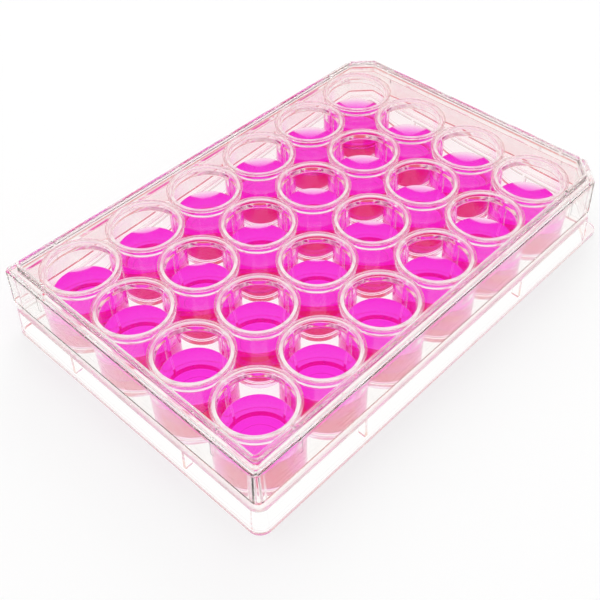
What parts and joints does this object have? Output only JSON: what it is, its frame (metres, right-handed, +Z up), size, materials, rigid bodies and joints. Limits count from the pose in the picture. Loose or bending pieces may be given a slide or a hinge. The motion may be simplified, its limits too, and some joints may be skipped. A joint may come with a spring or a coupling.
{
  "type": "well plate",
  "caption": "Clear lidded culture plate: a grid of flat-bottomed wells in one moulded base, each holding a pool of medium, under a lid that rests on the well rims",
  "frame": {"origin": "centre of the foot's rectangle, on the resting surface", "axes": "+X from column 1, the end with the bevelled corners, to column 6 along the long side; +Y from row D to row A along the short side; +Z up, out of the wells' mouths"},
  "size_m": [0.1278, 0.0854, 0.0219],
  "materials": {
    "clear_polystyrene": "polished injection-moulded crystal polystyrene, transparent, edges and radii catch grey lines",
    "culture_medium": "clear magenta-red aqueous culture medium with a smooth surface that climbs at the well wall"
  },
  "bodies": {
    "root": {"plate": "clear_polystyrene", "lid": "clear_polystyrene", "medium_a1": "culture_medium", "medium_a2": "culture_medium", "medium_a3": "culture_medium", "medium_a4": "culture_medium", "medium_a5": "culture_medium", "medium_a6": "culture_medium", "medium_b1": "culture_medium", "medium_b2": "culture_medium", "medium_b3": "culture_medium", "medium_b4": "culture_medium", "medium_b5": "culture_medium", "medium_b6": "culture_medium", "medium_c1": "culture_medium", "medium_c2": "culture_medium", "medium_c3": "culture_medium", "medium_c4": "culture_medium", "medium_c5": "culture_medium", "medium_c6": "culture_medium", "medium_d1": "culture_medium", "medium_d2": "culture_medium", "medium_d3": "culture_medium", "medium_d4": "culture_medium", "medium_d5": "culture_medium", "medium_d6": "culture_medium"}
  },
  "joints": []
}
